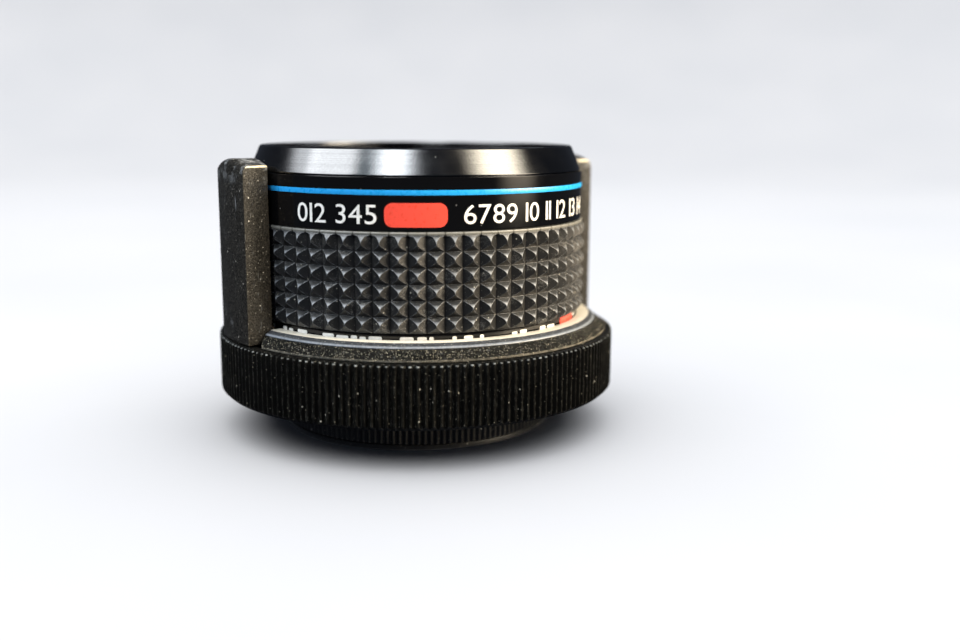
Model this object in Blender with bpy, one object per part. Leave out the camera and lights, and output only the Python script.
"""Wide-angle video converter lens with a two-jaw clamp mount.

Sizes are in millimetres and become metres when vertices are made.  The optical
axis is Z, the rear rim stands on Z = 0 and the front glass looks up, towards
+Z.  Angles are in degrees from -Y towards +X.
"""
import math

import bmesh
import bpy

MM = 0.001


# ------------------------------------------------------------ plan geometry
def plan_point(direction, along, across=0.0):
    """(x, y) of a point given along and across a direction from the axis."""
    turn = math.radians(direction)
    sine, cosine = math.sin(turn), math.cos(turn)
    return (along * sine + across * cosine, along * -cosine + across * sine)


def polar(angle, radius, z):
    return (*plan_point(angle, radius), z)


def plan_arc(direction, radius, start, stop, steps):
    """Plan points on an arc about the axis; start and stop are relative to direction."""
    points = []
    for k in range(steps + 1):
        angle = math.radians(start + (stop - start) * k / steps)
        points.append(plan_point(direction, radius * math.cos(angle), radius * math.sin(angle)))
    return points


def disc_outline(centre, radius, steps):
    turns = [2 * math.pi * i / steps for i in range(steps)]
    return [(centre[0] + radius * math.sin(turn), centre[1] - radius * math.cos(turn))
            for turn in turns]


# ------------------------------------------------------------- mesh helpers
def add_ring(bm, points):
    return [bm.verts.new((x * MM, y * MM, z * MM)) for x, y, z in points]


def add_circle(bm, radius, z, steps, shift=0.0):
    """A circle of vertices about the axis, shifted by a fraction of a step."""
    return add_ring(bm, [polar(360.0 * (i + shift) / steps, radius, z) for i in range(steps)])


def join_rings(bm, rings, closed=False):
    """Joins rings of equal vertex count with quads; closed joins last to first."""
    count = len(rings[0])
    pairs = list(zip(rings[:-1], rings[1:]))
    if closed:
        pairs.append((rings[-1], rings[0]))
    for first, second in pairs:
        for i in range(count):
            j = (i + 1) % count
            bm.faces.new((first[i], first[j], second[j], second[i]))


def bridge(bm, outer, inner):
    """Triangles between two coaxial rings whose vertex counts differ."""
    outer_count, inner_count = len(outer), len(inner)
    i = j = 0
    while i < outer_count or j < inner_count:
        step_outer = i < outer_count and (i + 1) / outer_count <= (j + 1) / inner_count
        if j >= inner_count or step_outer:
            bm.faces.new((outer[i % outer_count], outer[(i + 1) % outer_count],
                          inner[j % inner_count]))
            i += 1
        else:
            bm.faces.new((outer[i % outer_count], inner[(j + 1) % inner_count],
                          inner[j % inner_count]))
            j += 1


def face_outwards(bm):
    bmesh.ops.recalc_face_normals(bm, faces=bm.faces[:])
    if bm.calc_volume(signed=True) < 0.0:
        bmesh.ops.reverse_faces(bm, faces=bm.faces[:])


def shade(mesh, sharp_angle):
    mesh.shade_smooth()
    mesh.set_sharp_from_angle(angle=math.radians(sharp_angle))


def finish(bm, name, mat=None, sharp_angle=30.0):
    """Turns the bmesh into a shaded object in the scene."""
    face_outwards(bm)
    mesh = bpy.data.meshes.new(name)
    bm.to_mesh(mesh)
    bm.free()
    ob = bpy.data.objects.new(name, mesh)
    bpy.context.scene.collection.objects.link(ob)
    if mat is not None:
        mesh.materials.append(mat)
    shade(mesh, sharp_angle)
    return ob


def combine(target, tool, operation):
    """Adds or cuts tool into target for good, then removes tool."""
    mod = target.modifiers.new("op", "BOOLEAN")
    mod.operation = operation
    mod.solver = "EXACT"
    mod.object = tool
    bpy.context.view_layer.update()
    graph = bpy.context.evaluated_depsgraph_get()
    made = bpy.data.meshes.new_from_object(target.evaluated_get(graph))
    old = target.data
    target.modifiers.remove(mod)
    target.data = made
    made.name = target.name
    bpy.data.meshes.remove(old)
    tool_mesh = tool.data
    bpy.data.objects.remove(tool)
    bpy.data.meshes.remove(tool_mesh)


def add(target, tool):
    combine(target, tool, "UNION")


def cut(target, tool):
    combine(target, tool, "DIFFERENCE")


def tidy(ob):
    """Joins doubled points after cutting and renews the shading."""
    bm = bmesh.new()
    bm.from_mesh(ob.data)
    bmesh.ops.remove_doubles(bm, verts=bm.verts[:], dist=1e-7)
    face_outwards(bm)
    bm.to_mesh(ob.data)
    bm.free()
    shade(ob.data, 30.0)


# ------------------------------------------------------------- basic solids
def turned_ring(name, outline, mat, steps=36):
    """A ring turned about Z from a closed (radius, height) outline."""
    bm = bmesh.new()
    join_rings(bm, [add_circle(bm, radius, z, steps) for radius, z in outline], closed=True)
    return finish(bm, name, mat)


def rectangle(inner, outer, bottom, top):
    return [(inner, bottom), (outer, bottom), (outer, top), (inner, top)]


def flat_ring(name, mat, inner, outer, bottom, top, steps=36):
    return turned_ring(name, rectangle(inner, outer, bottom, top), mat, steps)


def turned_solid(name, outline, mat, steps=36):
    """A solid turned about Z; the (radius, height) outline starts and ends on the axis."""
    bm = bmesh.new()
    start, end = add_ring(bm, [(0.0, 0.0, outline[0][1]), (0.0, 0.0, outline[-1][1])])
    rings = [add_circle(bm, radius, z, steps) for radius, z in outline[1:-1]]
    join_rings(bm, rings)
    for i in range(steps):
        j = (i + 1) % steps
        bm.faces.new((start, rings[0][i], rings[0][j]))
        bm.faces.new((end, rings[-1][j], rings[-1][i]))
    return finish(bm, name, mat)


def loft(name, sections, mat=None):
    """A solid through sections of (x, y, z) points, capped at both ends."""
    bm = bmesh.new()
    rings = [add_ring(bm, section) for section in sections]
    join_rings(bm, rings)
    bm.faces.new(rings[0])
    bm.faces.new(list(reversed(rings[-1])))
    return finish(bm, name, mat)


def prism(name, outline, bottom, top, mat=None):
    """An upright prism from a plan outline."""
    return loft(name, [[(x, y, z) for x, y in outline] for z in (bottom, top)], mat)


def cylinder(name, centre, radius, bottom, top, steps, mat=None):
    return prism(name, disc_outline(centre, radius, steps), bottom, top, mat)


def ribbed_ring(name, teeth, levels, top_rings, bottom_rings, mat):
    """A ring with V ribs outside.

    levels are the lower and the upper end of the ribs, each a pair of
    (radius, height) for the crests and for the valleys.  top_rings and
    bottom_rings are plain circles of (radius, height, steps) that carry the
    surface from the ribs round to the bore, where their last circles are joined.
    """
    bm = bmesh.new()
    points = teeth * 2
    ribs = [add_ring(bm, [polar(360.0 * i / points, *level[i % 2]) for i in range(points)])
            for level in levels]
    join_rings(bm, ribs)
    top = [add_circle(bm, *ring) for ring in top_rings]
    bottom = [add_circle(bm, *ring) for ring in bottom_rings]
    for chain, previous in ((top, ribs[-1]), (bottom, ribs[0])):
        for ring in chain:
            bridge(bm, previous, ring)
            previous = ring
    bridge(bm, top[-1], bottom[-1])
    return finish(bm, name, mat, sharp_angle=20.0)


def spherical_face(apex, curve, edge, steps, bend):
    """(radius, height) points of a glass face from the axis out to edge.

    curve is the radius of the sphere; the face falls away from the apex when
    bend is -1 and rises when it is +1.
    """
    points = []
    for k in range(steps + 1):
        radius = edge * k / steps
        sag = curve - math.sqrt(curve * curve - radius * radius)
        points.append((radius, apex + bend * sag))
    return points


# ---------------------------------------------------------------- materials
def material(name, colour, roughness, metallic=0.0, alpha=1.0, transmission=0.0, coat=0.0):
    mat = bpy.data.materials.new(name)
    mat.use_nodes = True
    inputs = mat.node_tree.nodes["Principled BSDF"].inputs
    inputs["Base Color"].default_value = (*colour, 1.0)
    inputs["Roughness"].default_value = roughness
    inputs["Metallic"].default_value = metallic
    inputs["Alpha"].default_value = alpha
    inputs["Transmission Weight"].default_value = transmission
    inputs["Coat Weight"].default_value = coat
    mat.diffuse_color = (*colour, alpha)
    return mat


def glass(name, colour):
    return material(name, colour, roughness=0.03, alpha=0.35, transmission=0.9)


for ob in list(bpy.data.objects):
    bpy.data.objects.remove(ob)

BEZEL = material("bezel_anodised", (0.012, 0.012, 0.013), roughness=0.16, metallic=0.85)
BARREL = material("barrel_gloss_black", (0.008, 0.008, 0.009), roughness=0.1, coat=1.0)
GRIP = material("grip_rubber", (0.035, 0.036, 0.038), roughness=0.62)
FRONT_GLASS = glass("front_glass", (0.75, 0.86, 0.84))
MIDDLE_GLASS = glass("middle_glass", (0.78, 0.84, 0.9))
REAR_GLASS = glass("rear_glass", (0.72, 0.76, 0.86))
FLINT_GLASS = glass("rear_flint_glass", (0.8, 0.8, 0.86))
SEAL = material("seal_rubber", (0.02, 0.02, 0.02), roughness=0.7)
SPACER = material("spacer_matte_black", (0.01, 0.01, 0.01), roughness=0.85)
BAFFLE = material("baffle_flock_black", (0.006, 0.006, 0.006), roughness=0.95)
TUBE = material("tube_black_anodised", (0.014, 0.014, 0.015), roughness=0.4, metallic=0.7)
STEEL = material("spring_steel", (0.55, 0.55, 0.56), roughness=0.3, metallic=1.0)
REAR_RING = material("rear_ring_anodised", (0.013, 0.013, 0.013), roughness=0.38, metallic=0.5)
HOUSING = material("housing_textured_plastic", (0.03, 0.028, 0.025), roughness=0.5)
LIP = material("lip_cream_plastic", (0.78, 0.75, 0.66), roughness=0.4)
WASHER = material("washer_nylon", (0.8, 0.79, 0.74), roughness=0.5)
PLATE = material("base_plate_black", (0.02, 0.02, 0.02), roughness=0.5)
SCREW = material("screw_zinc", (0.6, 0.6, 0.58), roughness=0.35, metallic=1.0)
KNURL = material("ring_black_plastic", (0.014, 0.013, 0.012), roughness=0.42)
SCROLL = material("scroll_brass", (0.62, 0.47, 0.2), roughness=0.35, metallic=1.0)
JAW = material("jaw_textured_plastic", (0.032, 0.029, 0.025), roughness=0.5)

# -------------------------------------------------- front bezel, glass, seal
BEZEL_TOP = 49.5
BEZEL_BOTTOM = 45.3
BEZEL_TOP_RADIUS = 27.5
BEZEL_RADIUS = 29.3
FILTER_RADIUS = 26.4        # recess that takes a filter or a cap
SHOULDER_RADIUS = 25.3      # lip over the front glass
BEZEL_OUTLINE = [           # (radius, height)
    (BEZEL_RADIUS, BEZEL_BOTTOM), (BEZEL_TOP_RADIUS + 0.12, BEZEL_TOP - 0.25),
    (BEZEL_TOP_RADIUS - 0.1, BEZEL_TOP), (FILTER_RADIUS, BEZEL_TOP), (FILTER_RADIUS, 46.8),
    (SHOULDER_RADIUS, 46.4), (SHOULDER_RADIUS, 45.0), (27.3, 45.0), (27.3, BEZEL_BOTTOM)]
turned_ring("front_bezel", BEZEL_OUTLINE, BEZEL, steps=48)

flat_ring("front_seal_ring", SEAL, inner=25.6, outer=26.9, bottom=44.0, top=44.8)


def meniscus(name, top, low, radius, edge_bottom, bevel, mat, steps):
    """Glass with a convex top, a concave underside and a flat rim at edge_bottom.

    bevel is the drop from the edge of the top face to the outer wall.
    """
    wall = [(radius, top[-1][1] - bevel), (radius, edge_bottom), (low[-1][0], edge_bottom)]
    turned_solid(name, top + wall + list(reversed(low)), mat, steps)


FRONT_GLASS_RADIUS = 26.9
meniscus("front_element",
         spherical_face(47.6, curve=85.0, edge=FRONT_GLASS_RADIUS - 0.2, steps=4, bend=-1),
         spherical_face(45.3, curve=60.0, edge=21.0, steps=3, bend=-1),
         FRONT_GLASS_RADIUS, edge_bottom=41.3, bevel=0.2, mat=FRONT_GLASS, steps=40)

# ------------------------------------------------------------- barrel, grip
BARREL_RADIUS = 29.5
BARREL_TOP = 45.2
FRONT_BORE = 27.6
SHELF = 41.0                # height of the step behind the front glass
BORE = 24.5
BAFFLE_SEAT = 27.2
REAR_BORE = 23.7
STEM_RADIUS = 25.1          # part of the barrel inside the clamp hub
STEM_BOTTOM = 10.4
NECK_RADIUS = 28.7
NECK_BOTTOM = 19.15
GRIP_TOP = 36.85
GRIP_BOTTOM = 20.95
GRIP_SEAT_RADIUS = 28.4
GRIP_GAP = 0.1              # play above and below the grip
BARREL_OUTLINE = [          # (radius, height)
    (BARREL_RADIUS, BARREL_TOP), (FRONT_BORE, BARREL_TOP),
    (FRONT_BORE, SHELF), (BORE, SHELF),
    (BORE, BAFFLE_SEAT), (REAR_BORE, BAFFLE_SEAT),
    (REAR_BORE, STEM_BOTTOM), (STEM_RADIUS, STEM_BOTTOM),
    (STEM_RADIUS, NECK_BOTTOM), (NECK_RADIUS, NECK_BOTTOM),
    (NECK_RADIUS, GRIP_BOTTOM - GRIP_GAP), (GRIP_SEAT_RADIUS, GRIP_BOTTOM - GRIP_GAP),
    (GRIP_SEAT_RADIUS, GRIP_TOP + GRIP_GAP), (BARREL_RADIUS, GRIP_TOP + GRIP_GAP)]
turned_ring("barrel_shell", BARREL_OUTLINE, BARREL, steps=48)

STUD_RADIUS = 30.2          # at the stud points
GROOVE_RADIUS = 29.15
GRIP_INNER_RADIUS = 28.5
STUD_COLUMNS = 64
STUD_ROWS = 6
GRIP_EDGE = 0.38            # plain strip above the studs


def rubber_grip():
    """Sleeve of pyramid studs: one apex in the middle of every cell."""
    bm = bmesh.new()
    pitch = (GRIP_TOP - GRIP_EDGE - GRIP_BOTTOM) / STUD_ROWS

    def cell_circle(radius, z):
        return add_circle(bm, radius, z, STUD_COLUMNS, shift=-0.5)

    lines = [cell_circle(GROOVE_RADIUS, GRIP_BOTTOM + pitch * k) for k in range(STUD_ROWS + 1)]
    for k in range(STUD_ROWS):
        low, high = lines[k], lines[k + 1]
        apexes = add_circle(bm, STUD_RADIUS, GRIP_BOTTOM + pitch * (k + 0.5), STUD_COLUMNS)
        for i, apex in enumerate(apexes):
            j = (i + 1) % STUD_COLUMNS
            corners = (low[i], low[j], high[j], high[i])
            for side in range(4):
                bm.faces.new((corners[side], corners[(side + 1) % 4], apex))
    sleeve = [cell_circle(radius, z) for radius, z in (
        (STUD_RADIUS - 0.25, GRIP_TOP - 0.1), (STUD_RADIUS - 0.4, GRIP_TOP),
        (GRIP_INNER_RADIUS, GRIP_TOP), (GRIP_INNER_RADIUS, GRIP_BOTTOM))]
    join_rings(bm, [lines[-1], *sleeve, lines[0]])
    finish(bm, "rubber_grip", GRIP, sharp_angle=15.0)


rubber_grip()

# ------------------------------------------------------- inside the barrel
flat_ring("front_spacer_ring", SPACER, inner=22.4, outer=24.3, bottom=38.75, top=41.1)

MIDDLE_GLASS_RADIUS = 24.2
meniscus("middle_element",
         spherical_face(38.5, curve=200.0, edge=MIDDLE_GLASS_RADIUS - 0.1, steps=3, bend=-1),
         spherical_face(36.9, curve=60.0, edge=20.0, steps=3, bend=-1),
         MIDDLE_GLASS_RADIUS, edge_bottom=33.4, bevel=0.15, mat=MIDDLE_GLASS, steps=36)

BAFFLE_OUTLINE = [          # (radius, height), stepped on the inside
    (24.2, 27.3), (24.2, 33.2), (22.6, 33.2), (21.6, 31.6),
    (22.0, 31.2), (20.8, 29.4), (21.2, 29.0), (20.2, 27.3)]
turned_ring("glare_baffle", BAFFLE_OUTLINE, BAFFLE)

# ------------------------------------------------------ rear tube and glass
TUBE_RADIUS = 21.4
TUBE_BORE = 19.2
TUBE_LIP_RADIUS = 17.8
TUBE_BOTTOM = 1.8
TUBE_TOP = 26.8
TUBE_LIP_BOTTOM = 14.8
TUBE_SLEEVE_RADIUS = REAR_BORE - 0.2    # part inside the barrel
FLANGE_RADIUS = 27.0
FLANGE_BOTTOM, FLANGE_TOP = 8.7, 10.3
CLIP_GROOVE_RADIUS = 20.7
CLIP_GROOVE_BOTTOM, CLIP_GROOVE_TOP = 3.9, 4.9
TUBE_OUTLINE = [            # (radius, height)
    (TUBE_BORE, TUBE_BOTTOM), (TUBE_RADIUS, TUBE_BOTTOM),
    (TUBE_RADIUS, CLIP_GROOVE_BOTTOM), (CLIP_GROOVE_RADIUS, CLIP_GROOVE_BOTTOM),
    (CLIP_GROOVE_RADIUS, CLIP_GROOVE_TOP), (TUBE_RADIUS, CLIP_GROOVE_TOP),
    (TUBE_RADIUS, FLANGE_BOTTOM), (FLANGE_RADIUS, FLANGE_BOTTOM),
    (FLANGE_RADIUS, FLANGE_TOP), (TUBE_SLEEVE_RADIUS, FLANGE_TOP),
    (TUBE_SLEEVE_RADIUS, TUBE_TOP), (TUBE_LIP_RADIUS, TUBE_TOP),
    (TUBE_LIP_RADIUS, TUBE_LIP_BOTTOM), (TUBE_BORE, TUBE_LIP_BOTTOM)]
turned_ring("rear_tube", TUBE_OUTLINE, TUBE)

REAR_GLASS_RADIUS = 18.9
REAR_BEVEL_RADIUS = REAR_GLASS_RADIUS - 0.1     # edge of the rear glass undersides
crown_top = spherical_face(17.3, curve=60.0, edge=REAR_GLASS_RADIUS, steps=3, bend=-1)
crown_low = spherical_face(9.6, curve=70.0, edge=REAR_BEVEL_RADIUS, steps=3, bend=1)
turned_solid("rear_crown_element", crown_top + list(reversed(crown_low)), REAR_GLASS)

flat_ring("rear_spacer_ring", SPACER, inner=17.5, outer=REAR_GLASS_RADIUS,
          bottom=10.65, top=11.6)

flint_top = spherical_face(8.3, curve=66.0, edge=17.0, steps=3, bend=1)
flint_low = spherical_face(6.35, curve=150.0, edge=REAR_BEVEL_RADIUS, steps=2, bend=1)
turned_solid("rear_flint_element",
             flint_top + [(REAR_GLASS_RADIUS, 10.55)] + list(reversed(flint_low)), FLINT_GLASS)

NOTCH_HALF_WIDTH = 1.0
NOTCH_SPAN = (16.0, 18.2)       # radial reach of a notch cutter
NOTCH_HEIGHTS = (5.0, 6.3)


def rear_retaining_ring():
    """Ring below the rear glass, with two spanner notches in its underside."""
    ring = flat_ring("rear_retaining_ring", TUBE, inner=16.9, outer=REAR_GLASS_RADIUS + 0.1,
                     bottom=5.6, top=7.2)
    for direction in (0.0, 180.0):
        outline = [plan_point(direction, along, across)
                   for along, across in rectangle(*NOTCH_SPAN, -NOTCH_HALF_WIDTH,
                                                  NOTCH_HALF_WIDTH)]
        cut(ring, prism("notch", outline, *NOTCH_HEIGHTS))
    tidy(ring)


rear_retaining_ring()

CLIP_ENDS = (8.0, 352.0)        # angles of the two free ends
CLIP_STEPS = 32


def circlip():
    """Open spring ring that keeps the turning ring on the tube."""
    section = rectangle(CLIP_GROOVE_RADIUS + 0.25, 22.55,
                        CLIP_GROOVE_BOTTOM + 0.15, CLIP_GROOVE_TOP - 0.15)
    start, stop = CLIP_ENDS
    angles = [start + (stop - start) * i / CLIP_STEPS for i in range(CLIP_STEPS + 1)]
    loft("rear_ring_circlip",
         [[polar(angle, radius, z) for radius, z in section] for angle in angles], STEEL)


circlip()

# ------------------------------------------------------- rear turning ring
REAR_RIBS = 144
REAR_CREST_RADIUS = 24.1
REAR_VALLEY_RADIUS = 23.72
REAR_RIM_RADIUS = 23.9
REAR_TOP = 6.3
REAR_RIB_BOTTOM = 0.95
REAR_BORE_RADIUS = TUBE_RADIUS + 0.3
REAR_LIP_RADIUS = 20.4          # inner lip below the tube
REAR_LIP_TOP = 1.4
CLIP_RECESS_RADIUS = 22.9       # recess round the circlip
CLIP_RECESS_BOTTOM, CLIP_RECESS_TOP = 3.7, 5.1
ribbed_ring(
    "rear_mount_ring", REAR_RIBS,
    levels=[((REAR_CREST_RADIUS, REAR_RIB_BOTTOM), (REAR_VALLEY_RADIUS, REAR_RIB_BOTTOM)),
            ((REAR_CREST_RADIUS, REAR_TOP - 0.3), (REAR_VALLEY_RADIUS, REAR_TOP - 0.05))],
    top_rings=[(REAR_BORE_RADIUS, REAR_TOP, 36), (REAR_BORE_RADIUS, CLIP_RECESS_TOP, 36),
               (CLIP_RECESS_RADIUS, CLIP_RECESS_TOP, 36)],
    bottom_rings=[(REAR_RIM_RADIUS, REAR_RIB_BOTTOM - 0.1, 72), (REAR_RIM_RADIUS, 0.0, 72),
                  (REAR_LIP_RADIUS, 0.0, 36), (REAR_LIP_RADIUS, REAR_LIP_TOP, 36),
                  (REAR_BORE_RADIUS, REAR_LIP_TOP, 36),
                  (REAR_BORE_RADIUS, CLIP_RECESS_BOTTOM, 36),
                  (CLIP_RECESS_RADIUS, CLIP_RECESS_BOTTOM, 36)],
    mat=REAR_RING)

# ------------------------------------------------- shared clamp dimensions
HUB_BORE = 25.4
RING_BORE = 33.7                # bore of the knurled ring
LEFT_JAW = -61.35               # direction of the left jaw; the right one is opposite
JAW_DIRECTIONS = (LEFT_JAW, LEFT_JAW + 180.0)
FOOT_BOTTOM, FOOT_TOP = 14.7, 17.1
JAW_ROOT_RADIUS = 30.0          # inner face of the jaw below its upright plate
WINDOW_HALF = 5.5               # half the jaw opening in the cover, at the rim
PIN_CIRCLE = 29.6               # jaw pins with the jaws closed
SCROLL_BOTTOM, SCROLL_TOP = 12.7, 14.3

SCREW_RADIUS = 0.5
SCREW_HEAD_RADIUS = 0.8
SCREW_GAP = 0.08                # play round shank and head
SCREW_HEAD_BOTTOM, SCREW_HEAD_TOP, SCREW_TIP = 10.62, 11.3, 16.4
SCREW_CENTRES = [plan_point(27.0 + 120.0 * k, 26.4) for k in range(3)]

# ------------------------------------------------------------ clamp housing
HUB_RADIUS = 27.4
HUB_BOTTOM = 12.3
COVER_UNDERSIDE = 17.4
COVER_TOP = 18.85
COVER_EDGE_RADIUS = 34.3
COVER_TOP_RADIUS = 32.35
HOUSING_OUTLINE = [             # (radius, height)
    (HUB_BORE, HUB_BOTTOM), (HUB_RADIUS, HUB_BOTTOM), (HUB_RADIUS, COVER_UNDERSIDE),
    (COVER_EDGE_RADIUS - 0.1, COVER_UNDERSIDE), (COVER_EDGE_RADIUS, COVER_UNDERSIDE + 0.1),
    (COVER_TOP_RADIUS, COVER_TOP), (HUB_BORE, COVER_TOP)]
GUIDE_SIDES = (6.35, 8.2)       # near and far side of a guide rib, across the jaw
WINDOW_FLARE = [                # (along, extra half width) of the jaw opening
    (JAW_ROOT_RADIUS - 0.5, -0.3), (31.9, 0.0), (32.6, 0.35), (34.3, 2.4), (36.0, 4.5)]


def guide_rib(direction, side):
    """Rib under the cover beside a jaw foot; side is -1 or +1."""
    ends = []
    for distance in GUIDE_SIDES:
        across = side * distance
        inner = math.sqrt((HUB_RADIUS - 0.6) ** 2 - across ** 2)
        outer = math.sqrt((RING_BORE - 0.5) ** 2 - across ** 2)
        ends.append((plan_point(direction, inner, across), plan_point(direction, outer, across)))
    near, far = ends
    return prism("guide", [near[0], near[1], far[1], far[0]], FOOT_BOTTOM, COVER_UNDERSIDE + 0.4)


def jaw_window(direction):
    """Cutter for the opening that flares towards the cover edge."""
    sides = [[plan_point(direction, along, side * (WINDOW_HALF + extra))
              for along, extra in WINDOW_FLARE] for side in (-1.0, 1.0)]
    return prism("window", sides[0] + list(reversed(sides[1])), COVER_UNDERSIDE - 0.001, 22.0)


def clamp_housing():
    """Hub and cover with guide ribs, two jaw openings and screw holes."""
    housing = turned_ring("clamp_housing", HOUSING_OUTLINE, HOUSING, steps=60)
    for direction in JAW_DIRECTIONS:
        for side in (-1.0, 1.0):
            add(housing, guide_rib(direction, side))
        cut(housing, jaw_window(direction))
    for centre in SCREW_CENTRES:
        cut(housing, cylinder("hole", centre, SCREW_RADIUS + SCREW_GAP,
                              HUB_BOTTOM - 1.0, SCREW_TIP + 0.2, steps=10))
    tidy(housing)


clamp_housing()

# ---------------------------------------------------------------- light rim
LIP_INNER, LIP_OUTER = 29.05, 32.1
LIP_BOTTOM, LIP_TOP = 18.95, 19.95
LIP_END = [(0.0, 0.45), (0.4, 0.18), (1.1, 0.04), (3.0, 0.0)]   # (degrees from end, pinch)
LIP_STEPS = 24                  # between the pinched ends


def lip_segment(name, direction):
    """Half of the light rim: an arc with rounded ends beside the jaws."""
    half = 90.0 - math.degrees(math.asin((WINDOW_HALF + 0.1) / LIP_OUTER))
    plain = half - LIP_END[-1][0]
    stations = [(-half + inset, pinch) for inset, pinch in LIP_END]
    stations += [(-plain + 2 * plain * i / LIP_STEPS, 0.0) for i in range(1, LIP_STEPS)]
    stations += [(half - inset, pinch) for inset, pinch in reversed(LIP_END)]
    sections = []
    for angle, pinch in stations:
        outer = LIP_OUTER - 1.4 * pinch
        inner = LIP_INNER + 0.9 * pinch
        outline = [(inner, LIP_BOTTOM), (outer + 0.16, LIP_BOTTOM),
                   (outer + 0.05, LIP_TOP - 0.32), (outer - 0.3, LIP_TOP), (inner, LIP_TOP)]
        sections.append([polar(direction + angle, radius, z) for radius, z in outline])
    loft(name, sections, LIP)


lip_segment("lip_segment_front", LEFT_JAW + 90.0)
lip_segment("lip_segment_rear", LEFT_JAW - 90.0)

# ---------------------------------------------- washer, base plate, screws
flat_ring("friction_washer", WASHER, inner=28.6, outer=32.6, bottom=12.3, top=12.55)


def base_plate():
    """Flat ring under the clamp with sunk screw holes."""
    plate = flat_ring("base_plate", PLATE, inner=HUB_BORE, outer=33.2,
                      bottom=10.6, top=12.2, steps=48)
    for centre in SCREW_CENTRES:
        cut(plate, cylinder("hole", centre, SCREW_RADIUS + SCREW_GAP, 10.0, 13.0, steps=10))
        cut(plate, cylinder("sink", centre, SCREW_HEAD_RADIUS + SCREW_GAP,
                            10.0, SCREW_HEAD_TOP + 0.1, steps=12))
    tidy(plate)


base_plate()

SCREW_PROFILE = [               # (radius, height), head down
    (SCREW_HEAD_RADIUS, SCREW_HEAD_BOTTOM), (SCREW_HEAD_RADIUS, SCREW_HEAD_TOP),
    (SCREW_RADIUS, SCREW_HEAD_TOP), (SCREW_RADIUS, SCREW_TIP)]
CROSS_HALF_WIDTH = 0.11
CROSS_HALF_LENGTH = 0.5


def plate_screw(name, centre):
    """Cross-head screw with a straight-sided head."""
    sections = [[(x, y, z) for x, y in disc_outline(centre, radius, 12)]
                for radius, z in SCREW_PROFILE]
    screw = loft(name, sections, SCREW)
    x, y = centre
    for half_x, half_y in ((CROSS_HALF_WIDTH, CROSS_HALF_LENGTH),
                           (CROSS_HALF_LENGTH, CROSS_HALF_WIDTH)):
        outline = rectangle(x - half_x, x + half_x, y - half_y, y + half_y)
        cut(screw, prism("cross", outline, 10.0, 10.95))
    tidy(screw)


for tag, centre in zip("abc", SCREW_CENTRES):
    plate_screw("plate_screw_" + tag, centre)

# ------------------------------------------------------------ knurled ring
KNURLS = 184
KNURL_RADIUS = 35.5
KNURL_VALLEY_RADIUS = 34.95
KNURL_TOP, KNURL_BOTTOM = 17.15, 6.6
KNURL_CREST_TOP, KNURL_CREST_BOTTOM = 16.25, 7.2
KNURL_CHAMFER_RADIUS = 34.85
RING_FLANGE_RADIUS = 30.4       # inner edge of the flange at the foot
RING_FLANGE_TOP = 8.2
ribbed_ring(
    "knurled_ring", KNURLS,
    levels=[((KNURL_RADIUS, KNURL_CREST_BOTTOM), (KNURL_VALLEY_RADIUS, KNURL_BOTTOM + 0.1)),
            ((KNURL_RADIUS, KNURL_CREST_TOP), (KNURL_VALLEY_RADIUS, KNURL_TOP - 0.12))],
    top_rings=[(KNURL_CHAMFER_RADIUS, KNURL_TOP, 92), (RING_BORE, KNURL_TOP, 46)],
    bottom_rings=[(KNURL_CHAMFER_RADIUS, KNURL_BOTTOM, 92),
                  (RING_FLANGE_RADIUS, KNURL_BOTTOM, 46),
                  (RING_FLANGE_RADIUS, RING_FLANGE_TOP, 46), (RING_BORE, RING_FLANGE_TOP, 46)],
    mat=KNURL)

# ------------------------------------------------------------ scroll plate
JAW_TRAVEL = 1.8
RING_TURN = 70.0                # degrees of turn for the full travel
SLOT_HALF = 1.15
SLOT_OVERRUN = 3.4              # degrees beyond the turn at each end
SLOT_TAPER = 1.2                # degrees over which a slot end narrows
SLOT_END_SHARE = 0.55           # width left at the very end
SLOT_STEPS = 10


def scroll_plate():
    """Ring with two spiral slots that drive the jaw pins."""
    plate = flat_ring("scroll_plate", SCROLL, inner=27.7, outer=33.4,
                      bottom=SCROLL_BOTTOM, top=SCROLL_TOP, steps=48)
    start = SLOT_TAPER - SLOT_OVERRUN
    span = RING_TURN + 2 * SLOT_OVERRUN - 2 * SLOT_TAPER
    stations = [(-SLOT_OVERRUN, SLOT_END_SHARE)]
    stations += [(start + span * k / SLOT_STEPS, 1.0) for k in range(SLOT_STEPS + 1)]
    stations += [(RING_TURN + SLOT_OVERRUN, SLOT_END_SHARE)]
    for direction in JAW_DIRECTIONS:
        inner, outer = [], []
        for turn, share in stations:
            radius = PIN_CIRCLE + JAW_TRAVEL * turn / RING_TURN
            inner.append(plan_point(direction - turn, radius - SLOT_HALF * share))
            outer.append(plan_point(direction - turn, radius + SLOT_HALF * share))
        cut(plate, prism("slot", inner + list(reversed(outer)), 12.0, 15.0))
    tidy(plate)


scroll_plate()

# ----------------------------------------------------------- jaws and pins
JAW_INNER, JAW_OUTER = 30.45, 35.2          # radii of the upright plate
JAW_HALF_INNER, JAW_HALF_OUTER = 9.15, 10.15    # half angles at those faces
JAW_BOTTOM = 17.5
JAW_ROOT_TOP = 19.9
JAW_SIDE_TOP = 46.25
JAW_CROWN_TOP = 47.65           # top edge at mid width
JAW_ROUND = 1.2                 # rounding of the outer top edge
JAW_STEPS = 10
FOOT_HALF = 6.05
FOOT_INNER, FOOT_OUTER = 27.9, 31.5
STEM_HALF = 4.85
STEM_OUTER = FOOT_OUTER - 0.1
PIN_RADIUS = 0.9
PIN_HOLE_RADIUS = 1.0


def jaw_half(radius):
    """Half angle of a jaw plate, a little narrower towards the barrel."""
    share = (radius - JAW_INNER) / (JAW_OUTER - JAW_INNER)
    return JAW_HALF_INNER + (JAW_HALF_OUTER - JAW_HALF_INNER) * share


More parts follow.
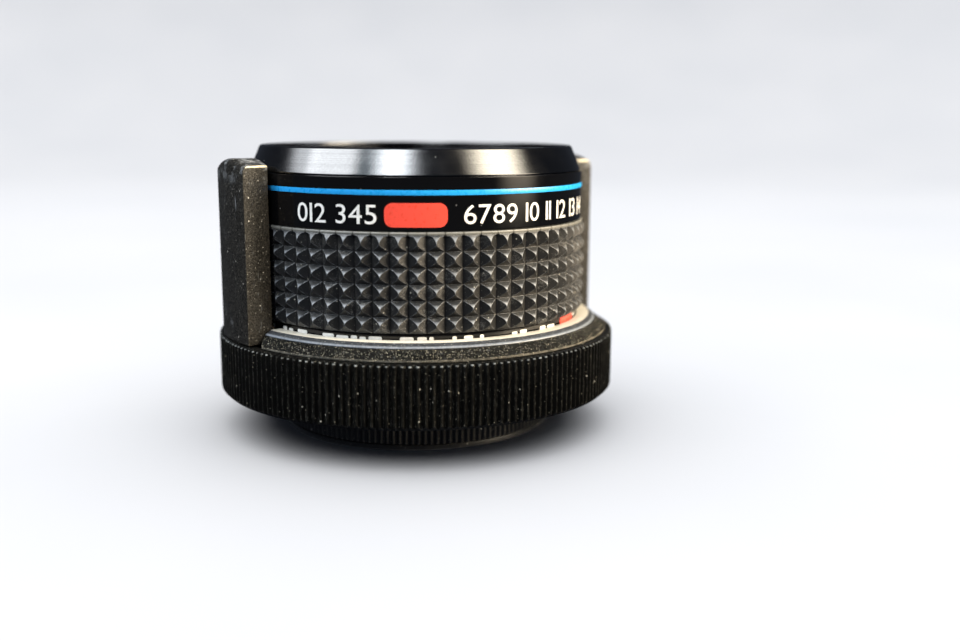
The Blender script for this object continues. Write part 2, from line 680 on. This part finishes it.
def jaw_section(top):
    """(radius, height) outline of the plate where its top edge is at top."""
    section = [(JAW_ROOT_RADIUS, JAW_BOTTOM), (JAW_OUTER, JAW_BOTTOM)]
    for k in range(5):
        turn = math.radians(90.0 * k / 4)
        section.append((JAW_OUTER - JAW_ROUND * (1 - math.cos(turn)),
                        top - JAW_ROUND * (1 - math.sin(turn))))
    return section + [(JAW_INNER + 0.3, top), (JAW_INNER, top - 0.3),
                      (JAW_INNER, JAW_ROOT_TOP), (JAW_ROOT_RADIUS, JAW_ROOT_TOP - 0.4)]


def jaw(name, direction):
    """Tall clamp jaw: a curved upright plate on a foot that slides outwards."""
    sections = []
    for i in range(JAW_STEPS + 1):
        share = -1.0 + 2.0 * i / JAW_STEPS      # -1 to +1 across the width
        top = JAW_SIDE_TOP + (JAW_CROWN_TOP - JAW_SIDE_TOP) * (1.0 - share * share)
        sections.append([polar(direction + share * jaw_half(radius), radius, z)
                         for radius, z in jaw_section(top)])
    body = loft(name, sections, JAW)

    spread = math.degrees(math.asin(FOOT_HALF / FOOT_OUTER))
    foot = [plan_point(direction, FOOT_INNER, -FOOT_HALF),
            *plan_arc(direction, FOOT_OUTER, -spread, spread, steps=8),
            plan_point(direction, FOOT_INNER, FOOT_HALF)]
    add(body, prism("foot", foot, FOOT_BOTTOM, FOOT_TOP))

    spread = math.degrees(math.asin(STEM_HALF / STEM_OUTER))
    stem = (plan_arc(direction, STEM_OUTER, -spread, spread, steps=6)
            + plan_arc(direction, JAW_ROOT_RADIUS + 0.1, spread, -spread, steps=6))
    add(body, prism("stem", stem, FOOT_BOTTOM + 0.5, JAW_BOTTOM + 0.7))

    cut(body, cylinder("bore", plan_point(direction, PIN_CIRCLE), PIN_HOLE_RADIUS,
                       FOOT_BOTTOM - 0.5, FOOT_TOP - 0.2, steps=16))
    tidy(body)


for tag, direction in zip(("left", "right"), JAW_DIRECTIONS):
    jaw("jaw_" + tag, direction)
    cylinder("jaw_pin_" + tag, plan_point(direction, PIN_CIRCLE), PIN_RADIUS,
             SCROLL_BOTTOM + 0.2, FOOT_TOP - 0.3, steps=16, mat=STEEL)

# Every piece gets a material of its own; the last user keeps the shared one.
for ob in sorted(bpy.data.objects, key=lambda piece: piece.name):
    shared = ob.data.materials[0]
    if shared.users > 1:
        own = shared.copy()
        own.name = ob.name + "_material"
        ob.data.materials[0] = own
